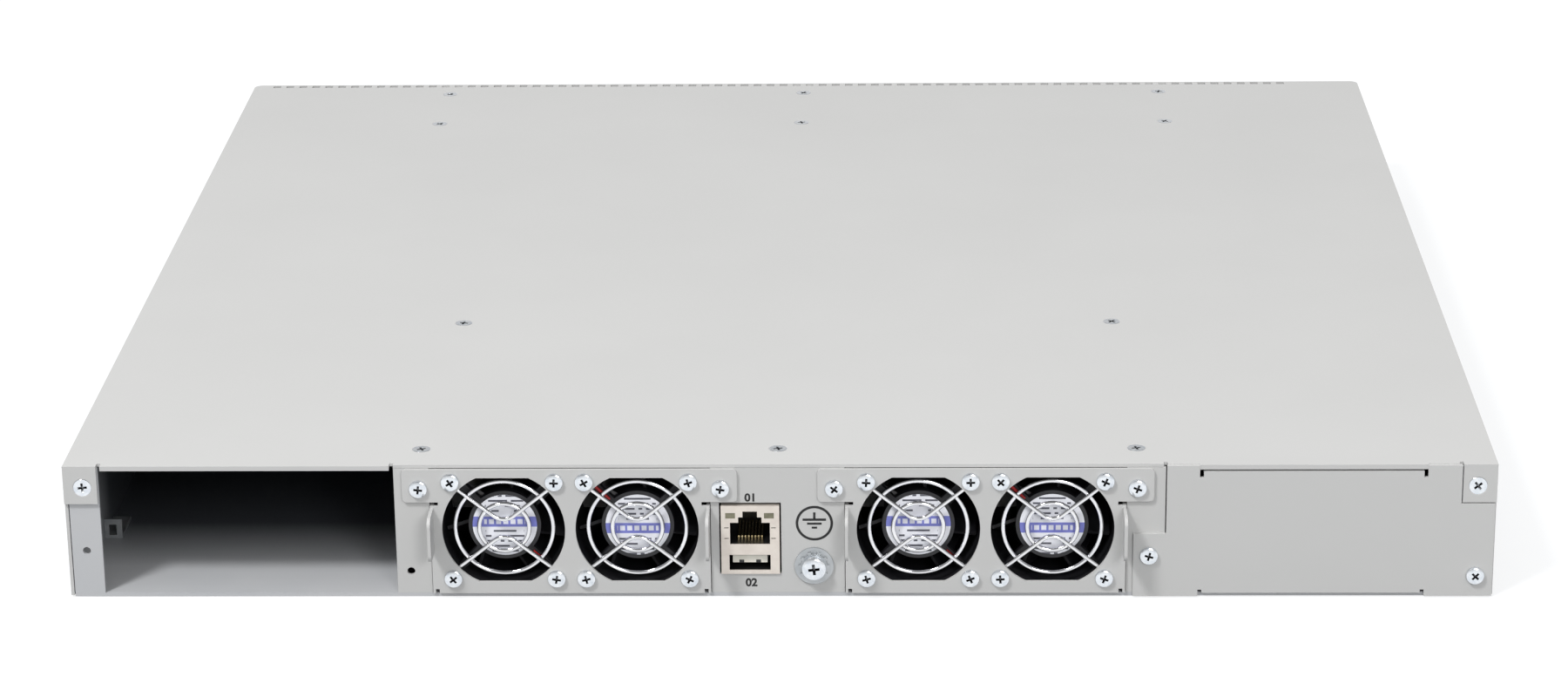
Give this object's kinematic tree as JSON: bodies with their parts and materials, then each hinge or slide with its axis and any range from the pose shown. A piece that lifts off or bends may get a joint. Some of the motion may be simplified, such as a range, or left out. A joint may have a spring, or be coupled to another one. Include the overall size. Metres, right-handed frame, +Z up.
{
  "type": "rackmount network switch",
  "caption": "One-rack-unit network switch: sheet-metal case, pull-out dual-fan modules, power supply bay, stacked management sockets, front transceiver ports.",
  "frame": {"origin": "underside of the case, midway between its sides and between its rear sheet plane and its front lip", "axes": "+Z up, +X to the right seen from the fan side, -Y out of the fan side, +Y out of the port side"},
  "size_m": [0.44, 0.4316, 0.0436],
  "materials": {
    "cover_paint": "light grey fine-textured powder coat",
    "case_paint": "light grey powder coat over sheet steel",
    "module_paint": "light grey powder coat over sheet steel",
    "bracket_zinc": "galvanised sheet, satin",
    "screw_zinc": "bright zinc plate",
    "wire_chrome": "bright plated wire",
    "fan_black": "glass-filled moulding, matt",
    "fan_label": "printed film label",
    "lead_red": "wire insulation",
    "bearing_steel": "ground steel",
    "winding_copper": "enamelled copper",
    "jack_tin": "tin plate, satin",
    "jack_black": "moulded",
    "contact_gold": "gold flash",
    "light_clear": "clear acrylic",
    "board_green": "solder mask",
    "chip_black": "epoxy moulding compound",
    "sink_aluminium": "extruded, natural",
    "cage_nickel": "nickel plate",
    "button_grey": "moulded"
  },
  "bodies": {
    "chassis": {"chassis_tray": "case_paint", "top_cover": "cover_paint", "rear_panel": "case_paint", "bay_divider_left": "case_paint", "bay_divider_right": "case_paint", "front_panel": "case_paint", "front_crossbar": "bracket_zinc", "bay_blank": "module_paint", "blank_screws": "screw_zinc", "bay_lugs": "case_paint", "cover_screws": "screw_zinc", "earth_washers": "screw_zinc", "earth_screw": "screw_zinc", "main_board": "board_green", "standoffs": "screw_zinc", "board_screws": "screw_zinc", "board_chips": "chip_black", "heatsinks": "sink_aluminium", "jack_shield": "jack_tin", "jack_housing": "jack_black", "jack_contacts": "contact_gold", "light_pipes": "light_clear", "light_carrier": "jack_black", "fan_sockets": "jack_black", "psu_backplanes": "board_green", "psu_connectors": "jack_black", "port_cages": "cage_nickel"},
    "mode_button": {"mode_button": "button_grey"},
    "rotor_1": {"fan_impeller_1": "fan_black", "fan_shaft_1": "bearing_steel"},
    "rotor_2": {"fan_impeller_2": "fan_black", "fan_shaft_2": "bearing_steel"},
    "fan_module_left": {"module_plate_left": "module_paint", "module_screws_left": "screw_zinc", "module_plug_left": "jack_black", "fan_screws_left": "screw_zinc", "fan_bearings_left": "bearing_steel", "fan_stators_left": "winding_copper", "fan_labels_left": "fan_label", "fan_leads_left": "lead_red", "fan_frame_1": "fan_black", "fan_guard_1": "wire_chrome", "fan_frame_2": "fan_black", "fan_guard_2": "wire_chrome"},
    "rotor_3": {"fan_impeller_3": "fan_black", "fan_shaft_3": "bearing_steel"},
    "rotor_4": {"fan_impeller_4": "fan_black", "fan_shaft_4": "bearing_steel"},
    "fan_module_right": {"module_plate_right": "module_paint", "module_screws_right": "screw_zinc", "module_plug_right": "jack_black", "fan_screws_right": "screw_zinc", "fan_bearings_right": "bearing_steel", "fan_stators_right": "winding_copper", "fan_labels_right": "fan_label", "fan_leads_right": "lead_red", "fan_frame_3": "fan_black", "fan_guard_3": "wire_chrome", "fan_frame_4": "fan_black", "fan_guard_4": "wire_chrome"}
  },
  "joints": [
    {"name": "mode_button_press", "type": "slide", "parent": "chassis", "child": "mode_button", "axis": [0, -1, 0], "range_m": [0, 0.0008], "stiffness_N_per_m": 500},
    {"name": "fan_module_left_slide", "type": "slide", "parent": "chassis", "child": "fan_module_left", "axis": [0, -1, 0], "range_m": [0, 0.075]},
    {"name": "rotor_1_spin", "type": "hinge", "parent": "fan_module_left", "child": "rotor_1", "pos_m": [-0.0845, -0.195, 0.0224], "axis": [0, 1, 0], "continuous": true},
    {"name": "rotor_2_spin", "type": "hinge", "parent": "fan_module_left", "child": "rotor_2", "pos_m": [-0.0433, -0.195, 0.0224], "axis": [0, 1, 0], "continuous": true},
    {"name": "fan_module_right_slide", "type": "slide", "parent": "chassis", "child": "fan_module_right", "axis": [0, -1, 0], "range_m": [0, 0.075]},
    {"name": "rotor_3_spin", "type": "hinge", "parent": "fan_module_right", "child": "rotor_3", "pos_m": [0.0433, -0.195, 0.0224], "axis": [0, 1, 0], "continuous": true},
    {"name": "rotor_4_spin", "type": "hinge", "parent": "fan_module_right", "child": "rotor_4", "pos_m": [0.0845, -0.195, 0.0224], "axis": [0, 1, 0], "continuous": true}
  ]
}
